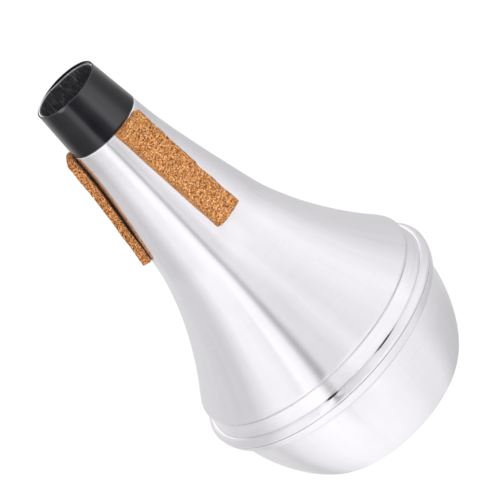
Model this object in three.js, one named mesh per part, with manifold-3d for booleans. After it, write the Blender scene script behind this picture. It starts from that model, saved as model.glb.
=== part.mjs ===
// Trumpet straight mute: a spun aluminium cone that flares to a wide rim, closed
// by a spun aluminium bowl, with a black plastic sleeve and lining on the narrow
// open neck and three cork strips glued along the cone.
// Millimetres, +Z up. It stands on the flat bottom of the bowl, with the open
// neck up; the origin is at the middle of that flat bottom.
// The front is -Y, +X is to the right of the front, and an angle round the axis
// is counted from the front towards +X.
import * as THREE from "three";
import { mergeVertices } from "three/addons/utils/BufferGeometryUtils.js";
import Module from "manifold-3d";

// ---------------------------------------------------------------- dimensions
const SEGMENTS = 48; // facets round the axis
const WALL = 1.0; // aluminium sheet of cone and bowl
const FIT = 0.3; // clearance between pieces that touch

// neck sleeve (outer, black plastic)
const TOP_Z = 178.65; // top of the object
const SLEEVE_BOTTOM_Z = 158.74;
const SLEEVE_TOP_R = 13.32;
const SLEEVE_BOTTOM_R = 15.01;
const SLEEVE_WALL = 0.55;
const SLEEVE_RISE = 0.65; // how far the sleeve stands above the neck's edge
const SLEEVE_EDGE = 0.2; // rounding of its upper edge

// neck of the cone, under the sleeve
const NECK_WALL = 0.7;
const NECK_TOP_Z = TOP_Z - SLEEVE_RISE;

// neck lining (inner, black plastic)
const LINER_WALL = 0.55;
const LINER_TOP_Z = NECK_TOP_Z - 0.3; // leaves the neck's metal edge bare
const LINER_BOTTOM_Z = SLEEVE_BOTTOM_Z + 1.5;

// outer profile of the cone, [z, radius], from the sleeve down to the shoulder
const CONE = [
  [158.4, 14.9],
  [150.0, 15.58],
  [141.0, 16.77],
  [131.0, 18.5],
  [120.0, 20.59],
  [109.0, 22.8],
  [99.0, 25.01],
  [90.0, 28.02],
  [82.0, 31.28],
  [74.0, 35.22],
  [67.0, 39.1],
  [61.0, 42.78],
  [56.0, 46.12],
  [52.5, 48.67],
];
// the rounded shoulder, the crease below it and the grooved band down to the seam
const SHOULDER = [
  [51.2, 49.55],
  [50.4, 49.95],
  [49.75, 49.9],
  [49.2, 49.48],
];
const BAND = [
  [48.5, 49.6],
  [46.0, 50.3],
  [43.6, 50.85],
];
// the skirt below the band, with a foot turned out under the curl of the bowl
const SKIRT_R = 50.9;
const SKIRT_BOTTOM_Z = 37.35;
const FOOT_R = 52.0;
const FOOT_TOP_Z = 38.4;

// bowl: flat bottom, curved side and the bead that wraps the skirt
const BASE_FLAT_R = 31.5;
const BOWL = [
  // outer side, [z, radius], from the flat bottom upwards
  [0.35, 32.9],
  [0.95, 34.4],
  [1.9, 35.7],
  [3.12, 36.93],
  [4.53, 38.1],
  [7.84, 40.47],
  [11.86, 42.72],
  [16.44, 44.84],
  [21.5, 46.7],
  [26.89, 48.15],
  [32.0, 49.05],
  [35.1, 49.45],
];
const BEAD = [
  // outer side of the bead, from its root up to the raw edge at the seam
  [35.75, 50.3],
  [35.95, 51.3],
  [37.0, 52.15],
  [38.3, 52.8],
  [39.8, 53.3],
  [40.25, 53.36],
  [40.42, 53.24],
  [40.6, 53.4],
  [41.3, 53.5],
  [41.95, 53.3],
  [42.7, 52.5],
  [43.15, 51.7],
  [43.3, 51.25],
];
const BEAD_INSIDE = [
  // the same sheet on its inner side, from the raw edge back down to the ledge
  [42.55, 51.2],
  [42.1, 51.75],
  [41.5, 52.45],
  [40.4, 52.6],
  [38.6, 52.45],
  [37.6, 52.35],
  [37.02, 51.9],
  [36.95, 50.2],
  [36.6, 48.75],
];

// soft ring in the bead, above the foot of the skirt
const SEAL_INNER_R = SKIRT_R + 0.25;
const SEAL_OUTER_R = 52.15;
const SEAL_BOTTOM_Z = 38.75;
const SEAL_TOP_Z = 41.5;

// cork strips: about a third of a turn apart, cut square to the metal. The
// heights are those of the metal at the ends; skew leans a strip's upper end
// towards larger angles.
const CORKS = [
  { place: "front", angle: 23.4, skew: 2.2, top: 158.3, bottom: 109.1 },
  { place: "left", angle: -104, skew: -2, top: 158.3, bottom: 109.3 },
  { place: "back", angle: 148, skew: 0, top: 158.3, bottom: 109.5 },
];
const CORK_MIDDLE_Z = 138.0; // a strip leans about this height
const CORK_WIDTH = 11.4;
const CORK_OUT = 4.0; // outer face of the cork above the metal
const CORK_IN = 0.8; // inner face of the cork above the metal
const GLUE_OUT = 0.55;
const GLUE_IN = 0.25;
const GLUE_MARGIN = 0.3; // the glue film stops this far inside the cork's outline

// ----------------------------------------------------------------- materials
const material = (color, roughness, metalness) =>
  new THREE.MeshStandardMaterial({ color, roughness, metalness });
const SPUN_ALUMINIUM = material(0xd9dadc, 0.32, 1.0);
const BLACK_PLASTIC = material(0x2e2f31, 0.45, 0.0);
const LINING_PLASTIC = material(0x2a2b2d, 0.6, 0.0);
const CORK = material(0xc88a50, 0.9, 0.0);
const GLUE = material(0x2a160b, 0.6, 0.0);
const SEAL_RUBBER = material(0x151515, 0.8, 0.0);

// ------------------------------------------------------------------- helpers
const wasm = await Module();
wasm.setup();

// A turned solid from a closed profile of [z, radius] points.
function turned(points) {
  const profile = points.map(([z, r]) => new THREE.Vector2(r, z));
  const geometry = new THREE.LatheGeometry(profile, SEGMENTS);
  geometry.rotateX(Math.PI / 2);
  return geometry;
}

// Radius of the cone's outer surface at a height, and its slope dr/dz, by a
// smooth curve through the CONE points.
const coneCurve = new THREE.SplineCurve(
  CONE.map(([z, r]) => new THREE.Vector2(z, r)),
);
const coneSamples = coneCurve.getPoints(520);
function coneAt(z) {
  for (let i = 1; i < coneSamples.length; i++) {
    const a = coneSamples[i - 1],
      b = coneSamples[i];
    if (b.x <= z || i === coneSamples.length - 1) {
      const slope = (b.y - a.y) / (b.x - a.x);
      return { r: a.y + slope * (z - a.x), slope };
    }
  }
}
// A point at a distance off the cone's surface, measured square to it.
function offCone(z, distance) {
  const { r, slope } = coneAt(z),
    n = Math.hypot(1, slope);
  return [z - (slope * distance) / n, r + distance / n];
}

function solid(geometry) {
  const plain = geometry.clone();
  plain.deleteAttribute("normal");
  plain.deleteAttribute("uv");
  const merged = mergeVertices(plain, 1e-4);
  return new wasm.Manifold(
    new wasm.Mesh({
      numProp: 3,
      vertProperties: new Float32Array(merged.attributes.position.array),
      triVerts: new Uint32Array(merged.index.array),
    }),
  );
}
function geometryOf(manifold) {
  const m = manifold.getMesh();
  return new THREE.BufferGeometry()
    .setAttribute(
      "position",
      new THREE.BufferAttribute(new Float32Array(m.vertProperties), 3),
    )
    .setIndex(new THREE.BufferAttribute(new Uint32Array(m.triVerts), 1));
}

const mute = new THREE.Group();
function add(name, geometry, look) {
  const mesh = new THREE.Mesh(geometry, look);
  mesh.name = name;
  mute.add(mesh);
  return mesh;
}

// ---------------------------------------------------------------- the sleeve
const sleeveTaper =
  (SLEEVE_BOTTOM_R - SLEEVE_TOP_R) / (TOP_Z - SLEEVE_BOTTOM_Z);
const sleeveOuter = (z) => SLEEVE_TOP_R + sleeveTaper * (TOP_Z - z);
const sleeveInner = (z) => sleeveOuter(z) - SLEEVE_WALL;
add(
  "neck_sleeve",
  turned([
    [SLEEVE_BOTTOM_Z, sleeveInner(SLEEVE_BOTTOM_Z)],
    [SLEEVE_BOTTOM_Z, SLEEVE_BOTTOM_R - 0.15],
    [SLEEVE_BOTTOM_Z + 0.2, sleeveOuter(SLEEVE_BOTTOM_Z + 0.2)],
    [TOP_Z - SLEEVE_EDGE, sleeveOuter(TOP_Z - SLEEVE_EDGE)],
    [TOP_Z, SLEEVE_TOP_R - SLEEVE_EDGE],
    [TOP_Z, sleeveInner(TOP_Z) + SLEEVE_EDGE * 0.6],
    [TOP_Z - SLEEVE_EDGE * 0.6, sleeveInner(TOP_Z - SLEEVE_EDGE * 0.6)],
    [SLEEVE_BOTTOM_Z, sleeveInner(SLEEVE_BOTTOM_Z)],
  ]),
  BLACK_PLASTIC,
);

// ----------------------------------------------------- the cone with its neck
const neckOuter = (z) => sleeveInner(z) - FIT;
const neckInner = (z) => neckOuter(z) - NECK_WALL;
const STEP_Z = SLEEVE_BOTTOM_Z - FIT; // the cone steps in under the sleeve here
const coneStations = [
  158.0, 154.0, 150.0, 145.5, 141.0, 131.0, 120.0, 109.0, 103.5, 99.0, 94.5,
  90.0, 86.0, 82.0, 78.0, 74.0, 70.5, 67.0, 61.0, 56.0, 52.5,
];
const coneOutside = coneStations.map((z) => [z, coneAt(z).r]);
const coneInside = coneStations
  .slice(1)
  .map((z) => offCone(z, -WALL))
  .reverse();
const body = [
  [NECK_TOP_Z, neckInner(NECK_TOP_Z)],
  [NECK_TOP_Z, neckOuter(NECK_TOP_Z)],
  [STEP_Z + 0.05, neckOuter(STEP_Z)],
  [STEP_Z, coneAt(STEP_Z).r - 0.1],
  ...coneOutside,
  ...SHOULDER,
  ...BAND,
  [42.6, SKIRT_R],
  [FOOT_TOP_Z, SKIRT_R],
  [FOOT_TOP_Z - 0.1, FOOT_R - 0.1],
  [SKIRT_BOTTOM_Z, FOOT_R],
  [SKIRT_BOTTOM_Z, SKIRT_R - WALL],
  [43.0, SKIRT_R - WALL],
  [48.2, 48.6],
  [49.6, 48.75],
  [50.5, 48.6],
  ...coneInside,
  [STEP_Z - 1.2, neckInner(STEP_Z)],
  [NECK_TOP_Z, neckInner(NECK_TOP_Z)],
];
add("body_shell", turned(body.reverse()), SPUN_ALUMINIUM);

// ------------------------------------------------------------- neck lining
const linerOuter = (z) => neckInner(z) - FIT;
add(
  "neck_liner",
  turned([
    [LINER_BOTTOM_Z, linerOuter(LINER_BOTTOM_Z) - LINER_WALL],
    [LINER_BOTTOM_Z, linerOuter(LINER_BOTTOM_Z)],
    [LINER_TOP_Z, linerOuter(LINER_TOP_Z)],
    [LINER_TOP_Z, linerOuter(LINER_TOP_Z) - LINER_WALL],
    [LINER_BOTTOM_Z, linerOuter(LINER_BOTTOM_Z) - LINER_WALL],
  ]),
  LINING_PLASTIC,
);

// ------------------------------------------------------------------ the bowl
// Inner side of the bowl: the outer points moved in by the wall thickness.
const bowlSide = [[0, BASE_FLAT_R], ...BOWL];
const bowlInside = [];
for (let i = 1; i < bowlSide.length - 1; i++) {
  const dz = bowlSide[i + 1][0] - bowlSide[i - 1][0],
    dr = bowlSide[i + 1][1] - bowlSide[i - 1][1],
    n = Math.hypot(dz, dr);
  bowlInside.push([
    bowlSide[i][0] + (dr / n) * WALL,
    bowlSide[i][1] - (dz / n) * WALL,
  ]);
}
add(
  "bottom_bowl",
  turned([
    [0, 0],
    [0, BASE_FLAT_R],
    ...BOWL,
    ...BEAD,
    ...BEAD_INSIDE,
    [35.4, 48.5],
    ...bowlInside.reverse(),
    [WALL, BASE_FLAT_R - 0.3],
    [WALL, 0],
  ]),
  SPUN_ALUMINIUM,
);

// ----------------------------------------------------------- ring in the seam
add(
  "seam_seal",
  turned([
    [SEAL_BOTTOM_Z, SEAL_INNER_R],
    [SEAL_BOTTOM_Z, SEAL_OUTER_R - 0.2],
    [SEAL_BOTTOM_Z + 0.3, SEAL_OUTER_R],
    [SEAL_TOP_Z - 0.9, SEAL_OUTER_R],
    [SEAL_TOP_Z, SEAL_INNER_R + 0.3],
    [SEAL_TOP_Z, SEAL_INNER_R],
    [SEAL_BOTTOM_Z, SEAL_INNER_R],
  ]),
  SEAL_RUBBER,
);

// --------------------------------------------------- cork strips and their glue
// A strip is the part of a turned band that lies inside a straight bar, so it
// keeps one width along its length and hugs the cone.
function band(inner, outer, top, bottom) {
  const points = [];
  for (let i = 0; i <= 7; i++)
    points.push(offCone(top + ((bottom - top) * i) / 7, outer));
  for (let i = 7; i >= 0; i--)
    points.push(offCone(top + ((bottom - top) * i) / 7, inner));
  points.push(points[0]);
  return solid(turned(points.reverse()));
}
function bar(width, angle, skew) {
  const outline = new THREE.Shape();
  outline.moveTo(-width / 2, 5);
  outline.lineTo(width / 2, 5);
  outline.lineTo(width / 2, 40);
  outline.lineTo(-width / 2, 40);
  outline.closePath();
  const block = new THREE.ExtrudeGeometry(outline, {
    depth: 90,
    bevelEnabled: false,
  });
  block.translate(0, 0, -45);
  // the bar is drawn along +Y; the front is -Y
  block.rotateY(THREE.MathUtils.degToRad(-skew));
  block.translate(0, 0, CORK_MIDDLE_Z);
  block.rotateZ(Math.PI + THREE.MathUtils.degToRad(angle));
  return solid(block);
}
for (const { place, angle, skew, top, bottom } of CORKS) {
  add(
    "cork_strip_" + place,
    geometryOf(
      band(CORK_IN, CORK_OUT, top, bottom).intersect(
        bar(CORK_WIDTH, angle, skew),
      ),
    ),
    CORK,
  );
  add(
    "cork_glue_" + place,
    geometryOf(
      band(
        GLUE_IN,
        GLUE_OUT,
        top - GLUE_MARGIN,
        bottom + GLUE_MARGIN,
      ).intersect(bar(CORK_WIDTH - 2 * GLUE_MARGIN, angle, skew)),
    ),
    GLUE,
  );
}

export default mute;
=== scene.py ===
import math

import bmesh
import bpy
import numpy as np
from mathutils import Matrix, Vector, noise


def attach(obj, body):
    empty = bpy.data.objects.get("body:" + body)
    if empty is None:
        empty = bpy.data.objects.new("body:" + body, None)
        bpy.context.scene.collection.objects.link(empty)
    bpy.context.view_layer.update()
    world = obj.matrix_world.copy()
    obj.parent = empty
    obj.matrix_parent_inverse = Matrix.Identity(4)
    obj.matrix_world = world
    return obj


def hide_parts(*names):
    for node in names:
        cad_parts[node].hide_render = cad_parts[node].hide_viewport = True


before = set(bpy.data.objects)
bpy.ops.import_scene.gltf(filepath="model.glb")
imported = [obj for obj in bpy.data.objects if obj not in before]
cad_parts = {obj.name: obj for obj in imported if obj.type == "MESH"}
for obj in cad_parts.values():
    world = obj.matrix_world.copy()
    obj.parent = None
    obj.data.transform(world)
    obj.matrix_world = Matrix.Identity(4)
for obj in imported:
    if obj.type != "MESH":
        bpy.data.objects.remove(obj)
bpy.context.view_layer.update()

MM = 0.001

# ------------------------------------------------------------------ dimensions
TOP_Z = 178.65
SLEEVE_BOTTOM_Z = 158.6
SLEEVE_TOP_R = 13.32
SLEEVE_BOTTOM_R = 15.01
SLEEVE_WALL = 0.45
NECK_TOP_Z = 178.0
LINER_TOP_Z = 177.72
LINER_BOTTOM_Z = 160.24
WALL = 1.0

CONE = [
    (158.4, 14.9), (150.0, 15.58), (141.0, 16.77), (131.0, 18.5), (120.0, 20.59),
    (109.0, 22.8), (99.0, 25.01), (90.0, 28.02), (82.0, 31.28), (74.0, 35.22),
    (67.0, 39.1), (61.0, 42.78), (56.0, 46.12), (52.5, 48.67),
]
SKIRT_R = 50.9
FOOT_R = 52.0
FOOT_TOP_Z = 38.4
SKIRT_BOTTOM_Z = 37.35
BOWL = [
    (0.0, 31.5), (0.35, 32.9), (0.95, 34.4), (1.9, 35.7), (3.12, 36.93), (4.53, 38.1),
    (7.84, 40.47), (11.86, 42.72), (16.44, 44.84), (21.5, 46.7), (26.89, 48.15),
    (32.0, 49.05), (35.1, 49.45),
]
CORKS = [
    # place, angle, skew, top, bottom
    ("front", 23.4, 2.2, 158.3, 109.1),
    ("left", -104.0, -2.0, 158.3, 109.3),
    ("back", 148.0, 0.0, 158.3, 109.5),
]
CORK_MIDDLE_Z = 138.0
CORK_WIDTH = 11.4
CORK_OUT = 4.0
CORK_IN = 0.3


# --------------------------------------------------------------------- helpers
def catmull(points, steps):
    """Points of a smooth curve through the given ones, `steps` to each span."""
    out = []
    last = len(points) - 1
    for i in range(last):
        p0, p1 = points[max(i - 1, 0)], points[i]
        p2, p3 = points[i + 1], points[min(i + 2, last)]
        for j in range(steps):
            t = j / steps
            q = []
            for a, b, c, d in zip(p0, p1, p2, p3):
                v0, v1 = (c - a) / 2, (d - b) / 2
                q.append(
                    (2 * b - 2 * c + v0 + v1) * t**3
                    + (-3 * b + 3 * c - 2 * v0 - v1) * t**2
                    + v0 * t
                    + b
                )
            out.append(tuple(q))
    out.append(tuple(points[-1]))
    return out


def smooth(a, b, x):
    t = min(max((x - a) / (b - a), 0.0), 1.0)
    return t * t * (3 - 2 * t)


def around(a, table):
    """A height that goes smoothly round the axis, from (degrees, height) pairs."""
    deg = math.degrees((a + math.pi) % (2 * math.pi)) - 180
    marks = [(table[-1][0] - 360, table[-1][1]), *table, (table[0][0] + 360, table[0][1])]
    for (a0, v0), (a1, v1) in zip(marks, marks[1:]):
        if a0 <= deg <= a1:
            return v0 + (v1 - v0) * smooth(a0, a1, deg)
    return marks[0][1]


# heights of the hand-trimmed edges of sleeve and neck
SLEEVE_EDGE = [
    (-160, 178.45), (-145, 178.28), (-128, 178.12), (-115, 178.16), (-90, 178.3), (-60, 178.22), (-30, 178.18),
    (0, 178.15), (45, 178.3), (90, 178.48), (120, 178.62), (150, 178.65), (175, 178.6),
]
NECK_EDGE = [
    (-150, 178.2), (-115, 178.28), (-97, 178.2), (-78, 177.9), (-45, 177.72), (0, 177.66), (45, 177.66),
    (85, 177.8), (110, 177.76), (135, 177.68), (180, 177.66),
]
SLEEVE_FOOT = [(-90, 158.42), (0, 158.58), (90, 158.82), (180, 158.66)]

cone_curve = np.array(catmull(CONE, 40))
cone_z, cone_r = cone_curve[::-1, 0], cone_curve[::-1, 1]


def cone_at(z):
    """Outer radius of the cone at a height, and its slope."""
    r = float(np.interp(z, cone_z, cone_r))
    lo, hi = np.interp([z - 0.4, z + 0.4], cone_z, cone_r)
    return r, float(hi - lo) / 0.8


def sleeve_outer(z):
    taper = (SLEEVE_BOTTOM_R - SLEEVE_TOP_R) / (TOP_Z - SLEEVE_BOTTOM_Z)
    return SLEEVE_TOP_R + taper * (TOP_Z - z)


def neck_outer(z):
    return sleeve_outer(z) - SLEEVE_WALL - 0.02


def neck_wall(z):
    return 0.42 + 0.5 * (1 - smooth(158.0, 174.0, z))


def fillet(profile, marks, steps=4):
    """Rounds corners of a profile. marks is {index: distance from the corner}."""
    out = []
    n = len(profile)
    for i, p in enumerate(profile):
        if i not in marks:
            out.append(tuple(p))
            continue
        a, b = Vector(profile[(i - 1) % n]), Vector(profile[(i + 1) % n])
        c = Vector(p)
        da = min(marks[i], (a - c).length * 0.49)
        db = min(marks[i], (b - c).length * 0.49)
        s, e = c + (a - c).normalized() * da, c + (b - c).normalized() * db
        for j in range(steps + 1):
            t = j / steps
            q = s * (1 - t) ** 2 + c * 2 * t * (1 - t) + e * t**2
            out.append((q.x, q.y))
    return out


def new_object(name, mesh, material, replaced, sharp=35.0):
    bm = bmesh.new()
    bm.from_mesh(mesh)
    bmesh.ops.recalc_face_normals(bm, faces=bm.faces)
    bm.to_mesh(mesh)
    bm.free()
    mesh.shade_smooth()
    if sharp:
        mesh.set_sharp_from_angle(angle=math.radians(sharp))
    obj = bpy.data.objects.new(name, mesh)
    bpy.context.scene.collection.objects.link(obj)
    mesh.materials.append(material)
    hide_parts(replaced)
    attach(obj, "root")
    return obj


def turned(name, profile, segments, warp=None):
    """A mesh turned round the axis from a profile of (z, radius) in millimetres.

    A profile that starts and ends on the axis closes there; any other is a loop.
    warp(angle, index, z, r) may move a point in its own half plane."""
    verts, faces, rows = [], [], []
    for i, (z, r) in enumerate(profile):
        if r < 1e-9:
            rows.append([len(verts)])
            verts.append((0.0, 0.0, z * MM))
            continue
        row = []
        for k in range(segments):
            a = 2 * math.pi * k / segments
            zz, rr = warp(a, i, z, r) if warp else (z, r)
            row.append(len(verts))
            verts.append((rr * MM * math.sin(a), -rr * MM * math.cos(a), zz * MM))
        rows.append(row)
    on_axis = len(rows[0]) == 1
    for i in range(len(rows) - (1 if on_axis else 0)):
        a, b = rows[i], rows[(i + 1) % len(rows)]
        for k in range(segments):
            n = (k + 1) % segments
            if len(a) == 1:
                faces.append((a[0], b[n], b[k]))
            elif len(b) == 1:
                faces.append((a[k], a[n], b[0]))
            else:
                faces.append((a[k], a[n], b[n], b[k]))
    mesh = bpy.data.meshes.new(name)
    mesh.from_pydata(verts, [], faces)
    mesh.validate()
    return mesh


# ------------------------------------------------------------------- materials
class Nodes:
    """Short calls for building a node tree."""

    def __init__(self, tree):
        self.tree = tree
        tree.nodes.clear()

    def add(self, kind, **settings):
        node = self.tree.nodes.new(kind)
        for key, value in settings.items():
            setattr(node, key, value)
        return node

    def link(self, a, b):
        self.tree.links.new(a, b)

    def put(self, socket, value):
        if isinstance(value, bpy.types.NodeSocket):
            self.link(value, socket)
        else:
            socket.default_value = value

    def math(self, op, a, b=0.0, c=0.0, clamp=False):
        node = self.add("ShaderNodeMath", operation=op, use_clamp=clamp)
        for socket, value in zip(node.inputs, (a, b, c)):
            self.put(socket, value)
        return node.outputs[0]

    def vector(self, x, y, z):
        node = self.add("ShaderNodeCombineXYZ")
        for socket, value in zip(node.inputs, (x, y, z)):
            self.put(socket, value)
        return node.outputs[0]

    def split(self, vector):
        node = self.add("ShaderNodeSeparateXYZ")
        self.link(vector, node.inputs[0])
        return node.outputs

    def ease(self, value, lo, hi, to_lo=0.0, to_hi=1.0):
        node = self.add("ShaderNodeMapRange", interpolation_type="SMOOTHSTEP")
        for socket, v in zip(node.inputs, (value, lo, hi, to_lo, to_hi)):
            self.put(socket, v)
        return node.outputs[0]

    def noise(self, vector, scale, detail=2.0, rough=0.5, distortion=0.0):
        node = self.add("ShaderNodeTexNoise")
        self.link(vector, node.inputs["Vector"])
        node.inputs["Scale"].default_value = scale
        node.inputs["Detail"].default_value = detail
        node.inputs["Roughness"].default_value = rough
        node.inputs["Distortion"].default_value = distortion
        return node.outputs["Fac"]

    def voronoi(self, vector, scale, feature="F1", randomness=1.0):
        node = self.add("ShaderNodeTexVoronoi", feature=feature)
        self.link(vector, node.inputs["Vector"])
        node.inputs["Scale"].default_value = scale
        node.inputs["Randomness"].default_value = randomness
        return node.outputs

    def ramp(self, value, stops):
        node = self.add("ShaderNodeValToRGB")
        self.link(value, node.inputs[0])
        band = node.color_ramp
        while len(band.elements) < len(stops):
            band.elements.new(0.5)
        for element, (place, colour) in zip(band.elements, stops):
            element.position = place
            element.color = (*colour, 1.0)
        return node.outputs[0]

    def mix(self, share, a, b):
        node = self.add("ShaderNodeMix", data_type="RGBA")
        self.put(node.inputs[0], share)
        for socket, value in ((node.inputs[6], a), (node.inputs[7], b)):
            if isinstance(value, tuple):
                value = (*value, 1.0)
            self.put(socket, value)
        return node.outputs[2]

    def bump(self, height, distance, strength=1.0, normal=None):
        node = self.add("ShaderNodeBump")
        node.inputs["Strength"].default_value = strength
        node.inputs["Distance"].default_value = distance
        self.link(height, node.inputs["Height"])
        if normal is not None:
            self.link(normal, node.inputs["Normal"])
        return node.outputs[0]


def material(name):
    mat = bpy.data.materials.new(name)
    mat.use_nodes = True
    nodes = Nodes(mat.node_tree)
    out = nodes.add("ShaderNodeOutputMaterial")
    shader = nodes.add("ShaderNodeBsdfPrincipled")
    nodes.link(shader.outputs[0], out.inputs[0])
    where = nodes.add("ShaderNodeTexCoord").outputs["Object"]
    return mat, nodes, shader, where


def spun_metal(name, lean):
    """Spun aluminium: the turning lines run round the axis. lean is how much the
    radius counts beside the height in the distance along the profile."""
    mat, n, shader, where = material(name)
    x, y, z = n.split(where)
    radius = n.math("SQRT", n.math("ADD", n.math("MULTIPLY", x, x), n.math("MULTIPLY", y, y)))
    along = n.math("ADD", z, n.math("MULTIPLY", radius, lean))
    ux, uy = n.math("DIVIDE", x, radius), n.math("DIVIDE", y, radius)

    def rings(turn, per_mm):
        return n.vector(
            n.math("MULTIPLY", ux, turn),
            n.math("MULTIPLY", uy, turn),
            n.math("MULTIPLY", along, per_mm * 1000.0),
        )

    fine = n.noise(rings(1.6, 2.2), 1.0, 2.0, 0.6)
    wide = n.noise(rings(1.2, 0.35), 1.0, 2.0, 0.5)
    streak = n.noise(rings(16.0, 0.03), 1.0, 2.0, 0.5)
    haze = n.noise(where, 34.0, 3.0, 0.55)
    rough = n.math("ADD", n.math("MULTIPLY", fine, 0.05), n.math("MULTIPLY", haze, 0.05))
    n.link(n.math("ADD", rough, 0.165), shader.inputs["Roughness"])
    tone = n.math("ADD", n.math("MULTIPLY", haze, 0.35), n.math("MULTIPLY", fine, 0.35))
    tone = n.math("ADD", tone, n.math("MULTIPLY", streak, 0.30))
    colour = n.mix(n.ease(tone, 0.25, 0.75), (0.886, 0.866, 0.902), (0.953, 0.932, 0.974))
    # dirt and painted shade in the line round the bead, where the bead meets the bowl, and in the crease
    line = n.math("MULTIPLY", n.ease(z, 0.04005, 0.04035), n.ease(z, 0.04085, 0.04055))
    root = n.math("MULTIPLY", n.ease(z, 0.0347, 0.0353), n.ease(z, 0.0362, 0.0356))
    crease = n.math("MULTIPLY", n.ease(z, 0.04875, 0.0490), n.ease(z, 0.0499, 0.0496))
    grime_and_shade = n.math("ADD", n.math("MULTIPLY", line, 0.45), n.math("MULTIPLY", root, 0.85))
    grime_and_shade = n.math("ADD", grime_and_shade, n.math("MULTIPLY", crease, 0.42), clamp=True)
    grime_and_shade = n.math("MULTIPLY", grime_and_shade, n.ease(n.noise(where, 45.0, 2.0), 0.3, 0.65, 0.55, 1.0))
    # the band below the crease is given a brighter colour
    band = n.math("MULTIPLY", n.ease(z, 0.0436, 0.0441), n.ease(z, 0.0487, 0.0482))
    colour = n.mix(n.math("MULTIPLY", band, 0.8), colour, (0.985, 0.962, 1.0))
    # the bead line, bead root and crease are darkened: part dirt, part painted shade
    colour = n.mix(grime_and_shade, colour, (0.42, 0.41, 0.42))
    # painted highlight: the colour is raised to near white on the step on which the sleeve ends
    shoulder_glint = n.math("MULTIPLY", n.ease(z, 0.15755, 0.1578), n.ease(z, 0.1589, 0.1586))
    n.link(n.mix(shoulder_glint, colour, (1.0, 0.995, 1.0)), shader.inputs["Base Color"])
    shader.inputs["Metallic"].default_value = 0.93
    shader.inputs["Anisotropic"].default_value = 1.0
    shader.inputs["Anisotropic Rotation"].default_value = 0.25
    tangent = n.add("ShaderNodeTangent", direction_type="RADIAL", axis="Z")
    n.link(tangent.outputs[0], shader.inputs["Tangent"])
    first = n.bump(wide, 0.00002, 0.5)
    n.link(n.bump(fine, 0.000006, 0.6, first), shader.inputs["Normal"])
    return mat


def black_plastic(name):
    """Satin black plastic: a fine moulded grain and faint rubbed patches, and a painted highlight on the near upper
    edge.
    """
    mat, n, shader, where = material(name)
    grain = n.noise(where, 2600.0, 3.0, 0.6)
    cloud = n.noise(where, 90.0, 3.0, 0.55)
    colour = n.mix(cloud, (0.003, 0.003, 0.0060), (0.006, 0.006, 0.0100))
    # painted highlight: a pale patch on the near upper edge, left of the middle
    x, y, z = n.split(where)
    across = n.math("MULTIPLY", n.math("ADD", x, 0.0061), 0.42)
    down = n.math("SUBTRACT", z, 0.1777)
    deep = n.math("MULTIPLY", n.math("ADD", y, 0.0118), 0.35)
    far = n.math("ADD", n.math("MULTIPLY", across, across), n.math("MULTIPLY", down, down))
    far = n.math("SQRT", n.math("ADD", far, n.math("MULTIPLY", deep, deep)))
    far = n.math("ADD", far, n.math("MULTIPLY", n.math("SUBTRACT", n.noise(where, 900.0, 2.0), 0.5), 0.0008))
    colour = n.mix(n.ease(far, 0.0009, 0.0003), colour, (0.075, 0.075, 0.085))
    n.link(colour, shader.inputs["Base Color"])
    rough = n.math("ADD", n.math("MULTIPLY", cloud, 0.07), n.math("MULTIPLY", grain, 0.04))
    rough = n.math("ADD", rough, 0.09)
    # the cut upper edge is dull
    upward = n.split(n.add("ShaderNodeTexCoord").outputs["Normal"])[2]
    n.link(n.math("ADD", rough, n.ease(upward, 0.35, 0.75, 0.0, 0.8), clamp=True), shader.inputs["Roughness"])
    shader.inputs["Specular IOR Level"].default_value = 1.0
    shader.inputs["IOR"].default_value = 1.5
    n.link(n.bump(grain, 0.000008, 0.3), shader.inputs["Normal"])
    return mat


def lining(name):
    mat, n, shader, where = material(name)
    grain = n.noise(where, 1500.0, 4.0, 0.65)
    cloud = n.noise(where, 240.0, 3.0, 0.6)
    x, y, z = n.split(where)
    thread = n.noise(n.vector(x, y, n.math("MULTIPLY", z, 0.22)), 1300.0, 4.0, 0.7)
    colour = n.mix(cloud, (0.014, 0.014, 0.017), (0.045, 0.045, 0.052))
    colour = n.mix(n.ease(thread, 0.48, 0.70), colour, (0.135, 0.135, 0.15))
    n.link(colour, shader.inputs["Base Color"])
    n.link(n.math("ADD", n.math("MULTIPLY", grain, 0.25), 0.32), shader.inputs["Roughness"])
    n.link(n.bump(grain, 0.00006, 0.5), shader.inputs["Normal"])
    return mat


def rubber(name):
    mat, n, shader, where = material(name)
    grain = n.noise(where, 1800.0, 3.0, 0.6)
    n.link(n.mix(grain, (0.006, 0.006, 0.006), (0.018, 0.017, 0.017)), shader.inputs["Base Color"])
    n.link(n.math("ADD", n.math("MULTIPLY", grain, 0.2), 0.6), shader.inputs["Roughness"])
    n.link(n.bump(grain, 0.00003, 0.4), shader.inputs["Normal"])
    return mat


def dried_glue_shade(name):
    # dried glue coloured near black: part real glue, part painted shade for the gap under the strip
    mat, n, shader, where = material(name)
    flow = n.noise(where, 420.0, 4.0, 0.6)
    n.link(n.mix(flow, (0.004, 0.002, 0.001), (0.022, 0.009, 0.004)), shader.inputs["Base Color"])
    n.link(n.math("ADD", n.math("MULTIPLY", flow, 0.3), 0.3), shader.inputs["Roughness"])
    n.link(n.bump(flow, 0.0001, 0.6), shader.inputs["Normal"])
    return mat


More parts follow.
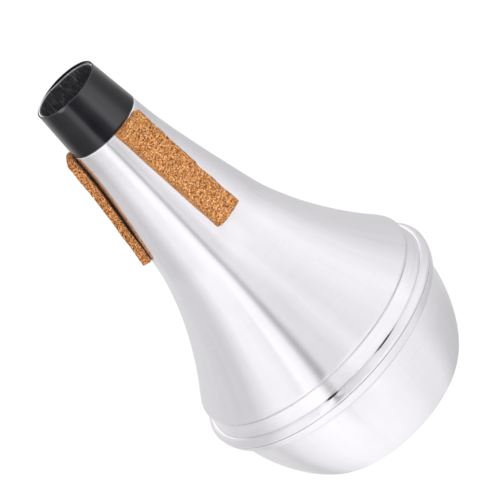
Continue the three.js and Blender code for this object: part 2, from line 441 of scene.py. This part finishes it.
def granulated_cork(name, dull=0.0):
    """Pressed cork granules, each with its own tone, with dark bark between."""
    mat, n, shader, where = material(name)
    bent = n.add("ShaderNodeVectorMath", operation="ADD")
    swirl = n.add("ShaderNodeTexNoise")
    n.link(where, swirl.inputs["Vector"])
    swirl.inputs["Scale"].default_value = 1100.0
    swirl.inputs["Detail"].default_value = 2.0
    shift = n.add("ShaderNodeVectorMath", operation="SCALE")
    n.link(swirl.outputs["Color"], shift.inputs[0])
    shift.inputs["Scale"].default_value = 0.0006
    n.link(where, bent.inputs[0])
    n.link(shift.outputs[0], bent.inputs[1])
    place = bent.outputs[0]

    cell = n.voronoi(place, 2700.0)
    edge = n.voronoi(place, 2700.0, "DISTANCE_TO_EDGE")["Distance"]
    tone = n.split(cell["Color"])[0]
    body = n.ramp(
        tone,
        [
            (0.0, (0.20, 0.045, 0.006)),
            (0.16, (0.40, 0.125, 0.026)),
            (0.42, (0.61, 0.248, 0.074)),
            (0.75, (0.79, 0.355, 0.118)),
            (1.0, (1.0, 0.57, 0.26)),
        ],
    )
    fibre = n.noise(place, 4200.0, 3.0, 0.6)
    body = n.mix(n.ease(fibre, 0.35, 0.75, 0.0, 0.30), body, (0.50, 0.17, 0.042))
    # clouds of paler and darker granules
    cloud = n.noise(where, 300.0, 3.0, 0.6)
    body = n.mix(n.ease(cloud, 0.40, 0.75, 0.0, 0.25), body, (0.62, 0.23, 0.06))
    # dark bark in the joints between some granules, and dark specks
    some = n.noise(where, 1100.0, 2.0, 0.5)
    joint = n.math("MULTIPLY", n.ease(edge, 0.12, 0.03), n.ease(some, 0.44, 0.58))
    body = n.mix(joint, body, (0.13, 0.030, 0.010))
    speck = n.noise(place, 2300.0, 1.0, 0.5)
    body = n.mix(n.ease(speck, 0.58 - 0.02 * dull, 0.635 - 0.02 * dull), body, (0.08, 0.014, 0.003))
    light = n.noise(place, 2500.0, 1.0, 0.5)
    body = n.mix(n.ease(light, 0.59, 0.66), body, (1.0, 0.62, 0.31))
    if dull:
        # darker in clouds, for the strip that takes this material
        body = n.mix(n.ease(cloud, 0.30, 0.70, 0.10 * dull, 0.25 * dull), body, (0.25, 0.04, 0.012))
    n.link(body, shader.inputs["Base Color"])
    n.link(n.math("ADD", n.math("MULTIPLY", fibre, 0.2), 0.62), shader.inputs["Roughness"])
    shader.inputs["Specular IOR Level"].default_value = 0.1
    height = n.math(
        "SUBTRACT",
        n.math("ADD", n.math("MULTIPLY", tone, 0.5), n.math("MULTIPLY", fibre, 0.35)),
        n.math("MULTIPLY", joint, 0.9),
    )
    n.link(n.bump(height, 0.00018, 0.8), shader.inputs["Normal"])
    return mat


cone_metal = spun_metal("spun_aluminium_cone", -0.8)
bowl_metal = spun_metal("spun_aluminium_dish", 0.8)
plastic = black_plastic("black_plastic_satin")
lining_plastic = lining("black_lining_ribbed")
seal_black = rubber("seal_rubber_dull")
cork_grain = granulated_cork("cork_granules")
cork_grain_dark = granulated_cork("cork_granules_dark", 1.0)
glue_shade = dried_glue_shade("glue_dark_brown_gap_shade")


# -------------------------------------------------------------- cone with neck
outside = [(NECK_TOP_Z, neck_outer(NECK_TOP_Z))]
outside += [(z, neck_outer(z)) for z in (177.3, 176.4, *np.arange(175.0, 160.5, -2.0), 159.2)]
# the little shoulder on which the sleeve ends
outside += [(158.40, 14.60), (158.38, 14.76), (158.30, 14.88), (158.15, 14.96), (157.95, 14.985)]
outside += [(float(z), cone_at(float(z))[0]) for z in np.arange(157.4, 52.6, -0.8)]
shoulder = catmull(
    [(53.6, 47.87), (52.5, 48.67), (51.2, 49.55), (50.4, 49.95), (49.78, 49.93), (49.3, 49.62)], 6
)[6:]
outside += shoulder
# the crease below the shoulder, and the band with its fine turned grooves
outside += [(49.14, 49.50), (48.98, 49.47), (48.8, 49.50), (48.5, 49.60)]
band_z = [48.5, 46.0, 43.6]
band_r = [49.60, 50.30, 50.85]
grooves = [47.13, 46.09, 44.86, 44.15]
for z in np.arange(48.3, 43.3, -0.1):
    r = float(np.interp(z, band_z[::-1], band_r[::-1]))
    for g in grooves:
        r -= 0.055 * math.exp(-(((z - g) / 0.13) ** 2))
        r += 0.025 * math.exp(-(((z - g - 0.3) / 0.14) ** 2))
    outside.append((float(z), r))
outside += [(43.0, 50.88), (42.6, SKIRT_R), (FOOT_TOP_Z + 0.5, SKIRT_R), (FOOT_TOP_Z + 0.1, SKIRT_R + 0.06)]
foot = [(FOOT_TOP_Z, SKIRT_R + 0.3), (FOOT_TOP_Z - 0.1, FOOT_R - 0.1), (FOOT_TOP_Z - 0.2, FOOT_R),
        (SKIRT_BOTTOM_Z + 0.1, FOOT_R), (SKIRT_BOTTOM_Z, FOOT_R - 0.1),
        (SKIRT_BOTTOM_Z, SKIRT_R - WALL + 0.1), (SKIRT_BOTTOM_Z + 0.1, SKIRT_R - WALL)]
inside = [(43.0, SKIRT_R - WALL), (46.0, 49.3), (48.2, 48.6), (49.0, 48.5), (49.6, 48.62), (50.3, 48.6)]
for z in np.arange(51.4, 157.0, 1.6):
    r, slope = cone_at(float(z)) if z > 52.6 else (float(np.interp(z, [50.4, 51.2, 52.5], [49.95, 49.55, 48.67])), -0.68)
    n_len = math.hypot(1, slope)
    inside.append((float(z) - slope * -WALL / n_len, r - WALL / n_len))
inside += [(z, neck_outer(z) - neck_wall(z)) for z in (158.5, 162.0, 168.0, 174.0, 176.4, 177.3)]
edge = [(NECK_TOP_Z - 0.07, neck_outer(NECK_TOP_Z) - 0.42), (NECK_TOP_Z, neck_outer(NECK_TOP_Z) - 0.34)]
body_profile = fillet(outside + foot + inside + edge, {0: 0.07})


def body_warp(a, i, z, r):
    """Slight waves that hand spinning leaves, and a dressed neck."""
    if z < 53.0:
        return z, r
    if z > 157.0:
        z += (around(a, SLEEVE_FOOT) - SLEEVE_BOTTOM_Z) * smooth(157.0, 158.0, z) * (1 - smooth(158.5, 160.0, z))
    if z > 176.0:
        z += (around(a, NECK_EDGE) - NECK_TOP_Z) * smooth(176.0, NECK_TOP_Z - 0.1, z)
    w = smooth(53.0, 70.0, z) * (1 - smooth(120.0, 150.0, z))
    u, v = math.sin(a), math.cos(a)
    d = noise.noise(Vector((u * 1.3, v * 1.3, z * 0.02 + 3.0))) * 0.10
    return z, r + d * w


cone = new_object(
    "cone_spun", turned("cone_spun", body_profile, 288, body_warp), cone_metal,
    "body_shell", 40.0,
)

# ------------------------------------------------------------------- the bowl
bowl_out = catmull([(0.0, 31.5), *BOWL[1:]], 6)
bead_out = catmull(
    [(35.1, 49.45), (35.62, 49.85), (35.84, 50.6), (36.1, 51.35), (37.0, 52.15), (38.3, 52.8),
     (39.8, 53.28), (40.22, 53.33)], 4
)
bead_line = [(40.30, 53.22), (40.36, 53.08), (40.42, 53.04), (40.48, 53.1), (40.54, 53.28)]
bead_top = catmull([(40.6, 53.4), (41.3, 53.5), (41.95, 53.3), (42.7, 52.5), (43.15, 51.75), (43.32, 51.3)], 4)
bead_in = [(43.2, 51.05), (42.6, 51.1), (42.1, 51.6), (41.5, 52.2), (40.4, 52.45), (38.6, 52.3), (37.6, 52.2),
           (37.02, 51.8), (36.95, 50.2), (36.6, 48.8), (35.4, 48.5)]
bowl_inside = []
for (z0, r0), (z1, r1), (z2, r2) in zip(BOWL, BOWL[1:], BOWL[2:]):
    dz, dr = z2 - z0, r2 - r0
    length = math.hypot(dz, dr)
    bowl_inside.append((z1 + dr / length * WALL, r1 - dz / length * WALL))
flat = [(0.0, 0.0)] + [(0.0, r) for r in (4.0, 10.0, 17.0, 24.0, 29.0)]
flat_in = [(WALL, 31.2), (WALL, 24.0), (WALL, 14.0), (WALL, 5.0), (WALL, 0.0)]
bowl_profile = flat + bowl_out[:-1] + bead_out + bead_line + bead_top + bead_in + bowl_inside[::-1] + flat_in
first_lip = len(flat) + len(bowl_out) - 1 + len(bead_out) + len(bead_line)
lip_start = first_lip + 8
lip_end = first_lip + len(bead_top) + 3


def opening(a):
    """How far the raw edge stands off the skirt, 0 to 1, by the angle."""
    deg = math.degrees((a + math.pi) % (2 * math.pi) - math.pi)
    wide = smooth(-17.2, -15.6, deg) * (1 - smooth(-13.0, -8.5, deg))
    long = 0.72 * smooth(9.8, 13.5, deg) * (1 - smooth(18.0, 28.0, deg))
    back = 0.6 * smooth(96.0, 101.0, deg) * (1 - smooth(108.0, 118.0, deg))
    far = 0.5 * smooth(-152.0, -144.0, deg) * (1 - smooth(-139.0, -131.0, deg))
    return max(wide, long, back, far)


def bowl_warp(a, i, z, r):
    if lip_start <= i < lip_end:
        # the raw edge of the curl hugs the skirt, and opens in a few places
        t = (i - lip_start) / 12.0
        share = min(1.0, max(0.0, t))
        ripple = 0.03 * noise.noise(Vector((math.sin(a) * 9, math.cos(a) * 9, 1.7)))
        gap = opening(a)
        return z - 0.12 * gap * share, r + share * (-0.17 + 0.78 * gap + ripple)
    if 1.0 < z < 34.0:
        u, v = math.sin(a), math.cos(a)
        d = noise.noise(Vector((u * 1.2, v * 1.2, z * 0.03 + 9.0))) * 0.10
        return z, r + d * smooth(1.0, 8.0, z) * (1 - smooth(28.0, 34.0, z))
    return z, r


bowl = new_object(
    "bowl_spun", turned("bowl_spun", bowl_profile, 288, bowl_warp), bowl_metal,
    "bottom_bowl", 40.0,
)

# --------------------------------------------------------------- seal in the seam
seal_profile = fillet(
    [(38.75, 51.0), (38.75, 52.0), (39.2, 52.22), (41.0, 52.1), (42.0, 51.2), (42.0, 51.0)],
    {0: 0.2, 1: 0.3, 3: 0.4, 4: 0.15, 5: 0.08}, 3,
)


def seal_warp(a, i, z, r):
    """Where the raw edge stands open, the soft ring is squeezed up into the gap."""
    up = smooth(41.3, 42.0, z)
    gap = opening(a)
    room = min(1.0, gap / 0.25)
    return z + 1.55 * room * min(1.0, 0.45 + 0.55 * gap) * up * (1.0 if gap > 0 else 0.0), r + up * 0.42 * gap * (r > 51.05)


seal = new_object(
    "seal_ring", turned("seal_ring", seal_profile, 288, seal_warp), seal_black, "seam_seal", 40.0
)

# ------------------------------------------------------------ sleeve on the neck
heights = np.linspace(SLEEVE_BOTTOM_Z + 0.25, TOP_Z - 0.3, 16)
sleeve_profile = [(SLEEVE_BOTTOM_Z, sleeve_outer(SLEEVE_BOTTOM_Z) - SLEEVE_WALL)]
sleeve_profile += [(SLEEVE_BOTTOM_Z, SLEEVE_BOTTOM_R)]
sleeve_profile += [(float(z), sleeve_outer(float(z))) for z in heights]
sleeve_profile += [(TOP_Z, SLEEVE_TOP_R)]
corner = len(sleeve_profile) - 1
sleeve_profile += [(TOP_Z, SLEEVE_TOP_R - SLEEVE_WALL)]
sleeve_profile += [(float(z), sleeve_outer(float(z)) - SLEEVE_WALL) for z in heights[::-1]]
sleeve_profile = fillet(sleeve_profile, {1: 0.06, corner: 0.09, corner + 1: 0.07}, 4)


def sleeve_warp(a, i, z, r):
    u, v = math.sin(a), math.cos(a)
    top = smooth(TOP_Z - 3.0, TOP_Z - 0.2, z)
    straight = sleeve_outer(z) - r
    z += (around(a, SLEEVE_EDGE) - TOP_Z - 0.05 * abs(noise.noise(Vector((u * 9, v * 9, 5.0))))) * top
    z += (around(a, SLEEVE_FOOT) - SLEEVE_BOTTOM_Z) * (1 - smooth(SLEEVE_BOTTOM_Z + 0.2, SLEEVE_BOTTOM_Z + 3.0, z))
    d = 0.035 * noise.noise(Vector((u * 1.6, v * 1.6, z * 0.12)))
    return z, sleeve_outer(z) - straight + min(d, 0.0)


sleeve = new_object(
    "sleeve_tube", turned("sleeve_tube", sleeve_profile, 192, sleeve_warp), plastic,
    "neck_sleeve", 50.0,
)

# ---------------------------------------------------------- lining of the neck
def liner_outer(z):
    return neck_outer(z) - neck_wall(z) - 0.03


RIBS = 76
liner_z = np.linspace(LINER_BOTTOM_Z, LINER_TOP_Z, 60)
liner_profile = [(float(z), liner_outer(float(z))) for z in liner_z[::6]]
if liner_profile[-1][0] < LINER_TOP_Z:
    liner_profile.append((LINER_TOP_Z, liner_outer(LINER_TOP_Z)))
liner_ribbed = len(liner_profile)
liner_profile += [(float(z), liner_outer(float(z)) - 0.45) for z in liner_z[::-1]]


def liner_warp(a, i, z, r):
    z += (around(a, NECK_EDGE) - NECK_TOP_Z) * smooth(175.0, LINER_TOP_Z - 0.1, z)
    if i < liner_ribbed:
        return z, r
    u, v = math.sin(a), math.cos(a)
    wander = 0.55 * noise.noise(Vector((u * 5, v * 5, z * 0.30)))
    rib = 0.5 + 0.5 * math.cos(RIBS * a + 3.2 * wander + 0.35 * z)
    broken = smooth(-0.25, 0.25, noise.noise(Vector((u * 11, v * 11, z * 0.8 + 4.0))))
    depth = 0.16 * rib * broken * (1 - smooth(LINER_TOP_Z - 0.9, LINER_TOP_Z - 0.4, z))
    lump = 0.05 * noise.noise(Vector((u * 22, v * 22, z * 1.7)))
    return z, r - depth + lump


liner = new_object(
    "lining_tube", turned("lining_tube", liner_profile, 456, liner_warp), lining_plastic,
    "neck_liner", 60.0,
)


# ------------------------------------------------------------- cork and its glue
def on_cone(angle, skew, u, z, d):
    """A point u millimetres across a strip, d above the metal's height z, square
    to the metal."""
    r, slope = cone_at(z)
    n_len = math.hypot(1, slope)
    radius = r + d / n_len
    z -= slope * d / n_len
    u += math.tan(math.radians(skew)) * (z - CORK_MIDDLE_Z)
    out = math.sqrt(max(radius * radius - u * u, 0.0))
    s, c = math.sin(angle), math.cos(angle)
    # straight out is (s, -c); across, towards larger angles, is (c, s)
    return Vector((out * s + u * c, -out * c + u * s, z))


def flatness(place, z):
    """1 where a strip stays flat across the round neck, 0 where it hugs it."""
    if place == "left":
        return smooth(116.0, 127.0, z)
    return 0.25 * smooth(118.0, 131.0, z)


def stand_off(place, z, u):
    """How far the inner side of a strip is off the metal beside its middle."""
    r = cone_at(z)[0]
    flat = math.hypot(r + CORK_IN, u) - r - CORK_IN
    return flat * flatness(place, z)


# height of the outer face of the left strip above the metal, by the height
LEFT_OUT = [
    (109.0, 3.55), (111.3, 3.70), (117.4, 3.72), (121.5, 3.66), (124.0, 3.50), (127.0, 3.38), (131.0, 3.35),
    (135.0, 3.48), (143.0, 3.55), (148.0, 3.65), (151.0, 3.62), (155.0, 3.40), (158.5, 3.4),
]
# how far the sides of the front strip stand out from a straight cut
FRONT_LEFT = [(109.0, -0.15), (114.0, -0.18), (120.0, -0.05), (135.0, 0.0), (147.0, 0.2), (152.0, 0.3), (155.0, 0.55), (158.5, 0.85)]
FRONT_RIGHT = [
    (109.0, 0.2), (113.0, 0.3), (115.5, -0.1), (119.0, 0.0), (121.5, 0.25), (124.5, 0.0), (127.0, -0.25),
    (128.8, -0.25), (130.0, 0.3), (138.0, 0.25), (143.0, 0.2), (146.5, 0.42), (149.5, 0.15), (155.0, 0.2), (157.0, 0.1),
]


def block_shell(counts):
    """Grid points on the skin of a block, and its faces."""
    nu, nz, nd = counts
    index, points, faces = {}, [], []

    def at(i, j, k):
        key = (i, j, k)
        if key not in index:
            index[key] = len(points)
            points.append((i / nu, j / nz, k / nd))
        return index[key]

    def side(fixed, value, na, nb, make):
        for a in range(na):
            for b in range(nb):
                quad = [make(value, a, b), make(value, a + 1, b), make(value, a + 1, b + 1), make(value, a, b + 1)]
                faces.append(tuple(at(*q) for q in quad))

    for value in (0, nu):
        side(0, value, nz, nd, lambda v, a, b: (v, a, b))
    for value in (0, nz):
        side(1, value, nu, nd, lambda v, a, b: (a, v, b))
    for value in (0, nd):
        side(2, value, nu, nz, lambda v, a, b: (a, b, v))
    return points, faces


def rounded(a, b, ha, hb, radius):
    """Rounds the corner at (ha, hb) of a rectangle, for points in it."""
    qa, qb = ha - radius, hb - radius
    va, vb = a - qa, b - qb
    if va <= 0 or vb <= 0:
        return a, b
    m, length = max(va, vb), math.hypot(va, vb)
    return qa + va / length * m, qb + vb / length * m


def granules(p, seed):
    """Height of the granular skin at a place, in millimetres."""
    q = Vector((p.x + seed, p.y, p.z)) * 2.0
    far, at = noise.voronoi(q, distance_metric="DISTANCE", exponent=1.0)
    joint = 1 - smooth(0.02, 0.25, far[1] - far[0])
    tall = noise.noise(at[0] * 3.7)
    return 0.09 * tall - 0.07 * joint * (0.6 + 0.4 * tall)


def ragged(place, seed, z, u):
    """How far a cut side of a strip wanders outward."""
    side = math.copysign(3.0, u)
    fine = noise.noise(Vector((seed + 2, z * 1.8, side)))
    if place == "front":
        table = FRONT_RIGHT if u > 0 else FRONT_LEFT
        even = float(np.interp(z, [a for a, _ in table], [b for _, b in table]))
        return even + (0.14 if u > 0 else 0.05) * fine
    wander = noise.noise(Vector((seed, z * 0.22, side))) * 0.18
    return wander + noise.noise(Vector((seed + 9, z * 0.9, side))) * 0.14 + 0.05 * fine


def cork_strip(place, angle_deg, skew, top, bottom, seed):
    angle = math.radians(angle_deg)
    hu, hz = CORK_WIDTH / 2, (top - bottom) / 2
    mid_z = (top + bottom) / 2
    hd, mid_d = (CORK_OUT - CORK_IN) / 2, (CORK_OUT + CORK_IN) / 2
    points, faces = block_shell((58, 240, 18))
    verts = []
    highest = top + {"front": 0.5, "left": 0.8}.get(place, 0.0)
    for fu, fz, fd in points:
        u, w, d = (2 * fu - 1) * hu, (2 * fz - 1) * hz, (2 * fd - 1) * hd
        # corners of the cut strip, softer at the end that goes in first
        soft = 1.5 if place == "left" else 0.45
        w, d = rounded(w, d, hz, hd, soft)
        d2, u2 = rounded(d, abs(u), hd, hu, 0.3)
        d, u = d2, math.copysign(u2, u)
        d2, w2 = rounded(d, -w, hd, hz, 0.3)
        d, w = d2, -w2
        if place == "front":
            if u > 0:
                u, w = rounded(u, w, hu, hz, 0.95)
            else:
                u2, w = rounded(-u, w, hu, hz, 0.2)
                u = -u2
        else:
            u2, w = rounded(abs(u), w, hu, hz, 2.0 if place == "left" and u > 0 else 1.0)
            u = math.copysign(u2, u)
        u2, w2 = rounded(abs(u), -w, hu, hz, 0.35)
        u, w = math.copysign(u2, u), -w2
        z = mid_z + w
        side = abs(u) / hu
        u += math.copysign(1.0, u) * ragged(place, seed, z, u) * smooth(0.75, 1.0, side)
        end = abs(w) / hz
        w_shift = noise.noise(Vector((seed + 5, u * 0.5, math.copysign(2.0, w)))) * 0.16
        z += w_shift * smooth(0.93, 1.0, end)
        if place == "left":
            z += (0.85 * math.exp(-(((u - 0.6) / 2.6) ** 2)) - 0.8 * smooth(-2.4, -5.4, u)) * smooth(0.90, 1.0, w / hz)
        if place == "front":
            z += (0.55 - 0.8 * smooth(-0.1, 0.6, u / hu) + 0.3 * smooth(0.62, 0.9, u / hu)) * smooth(0.90, 1.0, w / hz)
        z = min(z, highest)
        lift = stand_off(place, z, u)
        if place == "left":
            share = (d + hd) / (2 * hd)
            d += share * (float(np.interp(z, [a for a, _ in LEFT_OUT], [b for _, b in LEFT_OUT])) - CORK_OUT)
            # the inner side stands off the metal in a slow wave, more so further down
            off = 0.16 * noise.noise(Vector((2.5, z * 0.11, 0.0))) + 0.10 * (1 - smooth(120.0, 138.0, z))
            z -= 0.75 * smooth(0.4, -1.0, d / hd) * smooth(0.90, 1.0, w / hz)
            d += smooth(0.2, -1.0, d / hd) * off
        verts.append(on_cone(angle, skew, u, z, mid_d + d + lift))
    mesh = bpy.data.meshes.new("cork_" + place)
    mesh.from_pydata(verts, [], faces)
    bm = bmesh.new()
    bm.from_mesh(mesh)
    bmesh.ops.recalc_face_normals(bm, faces=bm.faces)
    bm.normal_update()
    normals = [v.normal.copy() for v in bm.verts]
    for v, normal in zip(bm.verts, normals):
        h = granules(v.co, seed * 7.0)
        radial = math.hypot(v.co.x, v.co.y)
        lift = radial - cone_at(min(v.co.z, 158.0))[0]
        if lift < 1.2:
            h = min(h, 0.0)
        v.co += normal * (h - 0.03)
    for v in bm.verts:
        v.co *= MM
    bm.to_mesh(mesh)
    bm.free()
    grain = cork_grain_dark if place == "left" else cork_grain
    return new_object("cork_" + place, mesh, grain, "cork_strip_" + place, None)


def glue_film(place, angle_deg, skew, top, bottom, seed):
    angle = math.radians(angle_deg)
    hu, hz = CORK_WIDTH / 2 - 0.35, (top - bottom) / 2 - 0.4
    mid_z = (top + bottom) / 2
    points, faces = block_shell((24, 120, 3))
    verts = []
    for fu, fz, fd in points:
        u, w = (2 * fu - 1), (2 * fz - 1) * hz
        z = mid_z + w
        squeeze = noise.noise(Vector((seed, z * 0.35, math.copysign(4.0, u)))) * 0.4
        squeeze += noise.noise(Vector((seed + 3, z * 1.3, math.copysign(4.0, u)))) * 0.2
        reach = hu - 2.2 * flatness(place, z) * (1.0 if place == "left" else 0.2)
        u = u * reach + math.copysign(1.0, u) * smooth(0.6, 1.0, abs(u)) * 0.45 * squeeze
        u = max(-hu - 0.1, min(hu + 0.1, u))
        over = stand_off(place, z, u) + CORK_IN - 0.03
        d = 0.05 + (over - 0.05) * fd
        verts.append(on_cone(angle, skew, u, z, d) * MM)
    mesh = bpy.data.meshes.new("glue_" + place)
    mesh.from_pydata(verts, [], faces)
    return new_object("glue_" + place, mesh, glue_shade, "cork_glue_" + place, 50.0)


for number, strip in enumerate(CORKS):
    cork_strip(*strip, 1.3 + number * 2.9)
    glue_film(*strip, 4.1 + number * 1.7)


# ----------------------------------------------------------------- floor, light
floor_mesh = bpy.data.meshes.new("floor")
size = 4.0
floor_mesh.from_pydata(
    [(-size, -size, 0), (size, -size, 0), (size, size, 0), (-size, size, 0)], [], [(0, 1, 2, 3)]
)
floor = bpy.data.objects.new("floor", floor_mesh)
floor.location.z = -0.00004
bpy.context.scene.collection.objects.link(floor)
floor_mat = bpy.data.materials.new("floor_pale")
floor_mat.use_nodes = True
n = Nodes(floor_mat.node_tree)
out = n.add("ShaderNodeOutputMaterial")
glow = n.add("ShaderNodeEmission")
glow.inputs["Color"].default_value = (1.0, 1.0, 1.0, 1.0)
glow.inputs["Strength"].default_value = 1.02
n.link(glow.outputs[0], out.inputs[0])
floor_mesh.materials.append(floor_mat)
floor.visible_glossy = False

# A studio tent. Its panels are long and lean over the object, so they are given
# by the sideways place on the metal that mirrors them, from -1 at the left
# outline through 0 at the front to 1 at the right outline: pairs of that place
# and the panel's brightness. One row of panels for the neck's height, one for
# the flare, one below for the bowl and a dim one level with the sleeve.
NECK_ROW = [
    (-1.0, 0.75), (-0.93, 0.75), (-0.87, 0.88), (-0.8, 0.86), (-0.7, 1.09), (-0.6, 1.30), (-0.45, 1.33), (-0.42, 1.42),
    (-0.28, 1.18), (-0.255, 0.95), (-0.235, 0.54), (-0.215, 0.70), (-0.18, 1.29), (-0.1, 1.17), (-0.03, 1.35), (0.03, 1.61),
    (0.15, 1.20), (0.45, 1.0), (0.55, 1.10), (0.63, 1.34), (0.72, 1.19), (0.8, 0.98), (0.93, 0.77), (1.0, 0.65),
]
FLARE_ROW = [
    (-1.0, 0.71), (-0.95, 0.69), (-0.87, 0.64), (-0.75, 0.65), (-0.6, 0.97), (-0.5, 0.99), (-0.38, 0.89),
    (-0.36, 1.08), (-0.262, 1.02), (-0.235, 0.65), (-0.212, 0.40), (-0.19, 0.43), (-0.165, 0.71), (-0.135, 0.78),
    (0.0, 0.74), (0.13, 0.90), (0.22, 0.81), (0.35, 0.86), (0.52, 0.95), (0.65, 0.97), (0.8, 0.87), (0.9, 0.71), (1.0, 0.65),
]
BOWL_ROW = [
    (-1.0, 1.02), (-0.9, 0.77), (-0.8, 0.66), (-0.7, 0.91), (-0.5, 1.07), (-0.1, 1.05), (0.1, 0.99), (0.3, 0.87),
    (0.5, 0.86), (0.65, 0.62), (0.8, 0.56), (0.9, 0.56), (1.0, 0.72),
]
SLEEVE_ROW = [
    (-1.0, 1.0), (-0.93, 0.45), (-0.85, 0.18), (-0.7, 0.2), (-0.5, 0.32), (-0.42, 0.6), (-0.36, 0.85), (-0.29, 0.78),
    (-0.24, 0.2), (-0.19, 0.07), (-0.1, 0.05), (0.0, 0.13), (0.1, 0.3), (0.16, 0.7), (0.25, 1.05), (0.38, 0.88),
    (0.48, 0.84), (0.56, 0.62), (0.66, 0.35), (0.75, 0.27), (0.95, 0.30), (1.0, 0.40),
]
world = bpy.data.worlds.new("studio")
bpy.context.scene.world = world
world.use_nodes = True
n = Nodes(world.node_tree)
out = n.add("ShaderNodeOutputWorld")
direction = n.add("ShaderNodeTexCoord").outputs["Generated"]
dx, dy, dz = n.split(direction)
ahead = n.math("SUBTRACT", 0.9187, dy)
reach = n.math("SQRT", n.math("ADD", n.math("MULTIPLY", dx, dx), n.math("MULTIPLY", ahead, ahead)))
across = n.math("DIVIDE", dx, reach)
side = n.math("ADD", n.math("MULTIPLY", across, 0.5), 0.5)
# how far the metal that mirrors a place leans back: the neck little, the flare much
facing = n.math("SQRT", n.math("SUBTRACT", 1.0, n.math("MULTIPLY", across, across), clamp=True))
lean = n.math("DIVIDE", n.math("ADD", dz, 0.40), n.math("ADD", n.math("MULTIPLY", facing, 0.85), 0.15))


def row(table):
    stops = [((x + 1) / 2, (v / 2, v / 2, v / 2)) for x, v in table]
    return n.math("MULTIPLY", n.ramp(side, stops), 2.0)


def blend(a, b, share):
    return n.math("ADD", n.math("MULTIPLY", a, n.math("SUBTRACT", 1.0, share)), n.math("MULTIPLY", b, share))


light = blend(row(NECK_ROW), row(FLARE_ROW), n.ease(lean, 0.36, 0.72))
light = blend(light, row(BOWL_ROW), n.ease(dz, -0.44, -0.60))
level = n.math("MULTIPLY", n.ease(dz, -0.37, -0.34), n.ease(lean, 0.30, 0.34, 1.0, 0.0))
light = blend(light, row(SLEEVE_ROW), level)
# a small black flag high up, which deepens the lower end of the dark line
flag = n.math("MULTIPLY", n.ease(across, -0.235, -0.20), n.ease(across, -0.145, -0.175))
flag = n.math("MULTIPLY", flag, n.ease(lean, 0.95, 1.15, 0.0, 0.32))
light = n.math("MULTIPLY", light, n.math("SUBTRACT", 1.0, flag))
behind = n.math("ADD", n.math("MULTIPLY", dy, 0.9187), n.math("MULTIPLY", dz, 0.395))
light = blend(light, 1.25, n.ease(behind, 0.90, 0.96))
glow = n.add("ShaderNodeBackground")
n.link(light, glow.inputs["Color"])
glow.inputs["Strength"].default_value = 1.0
plain = n.add("ShaderNodeBackground")
plain.inputs["Color"].default_value = (1.0, 1.0, 1.0, 1.0)
plain.inputs["Strength"].default_value = 1.02
seen = n.add("ShaderNodeLightPath").outputs["Is Camera Ray"]
choose = n.add("ShaderNodeMixShader")
n.link(seen, choose.inputs[0])
n.link(glow.outputs[0], choose.inputs[1])
n.link(plain.outputs[0], choose.inputs[2])
n.link(choose.outputs[0], out.inputs[0])

# a wide soft lamp from the camera's side, for the dull surfaces
lamp_data = bpy.data.lights.new("soft_lamp", "SUN")
lamp_data.energy = 1.33
lamp_data.angle = math.radians(70.0)
lamp = bpy.data.objects.new("soft_lamp", lamp_data)
bpy.context.scene.collection.objects.link(lamp)
lamp.rotation_euler = Vector((-0.10, -0.80, 0.60)).to_track_quat("Z", "Y").to_euler()
lamp.visible_glossy = False

scene = bpy.context.scene
scene.view_settings.view_transform = "Standard"
scene.view_settings.look = "None"
scene.view_settings.exposure = 0.0
scene.view_settings.gamma = 1.0

# ---------------------------------------------------------------------- camera
TILT = math.radians(23.26003)
DISTANCE = 1.015913
cam_data = bpy.data.cameras.new("camera")
cam_data.sensor_width = 36.0
cam_data.lens = 199.585
cam_data.clip_start = 0.05
cam_data.clip_end = 50.0
cam = bpy.data.objects.new("camera", cam_data)
bpy.context.scene.collection.objects.link(cam)
right = Vector((1, 0, 0))
up = Vector((0, math.sin(TILT), math.cos(TILT)))
look = Vector((0, math.cos(TILT), -math.sin(TILT)))
ROLL = math.radians(45.846)
axis_x = right * math.cos(ROLL) - up * math.sin(ROLL)
axis_y = right * math.sin(ROLL) + up * math.cos(ROLL)
axis_z = -look
cam.matrix_world = Matrix(
    (
        (axis_x.x, axis_y.x, axis_z.x, 0.004817),
        (axis_x.y, axis_y.y, axis_z.y, -DISTANCE * math.cos(TILT)),
        (axis_x.z, axis_y.z, axis_z.z, 0.08429 + DISTANCE * math.sin(TILT)),
        (0, 0, 0, 1),
    )
)
bpy.context.scene.camera = cam

bpy.context.view_layer.update()
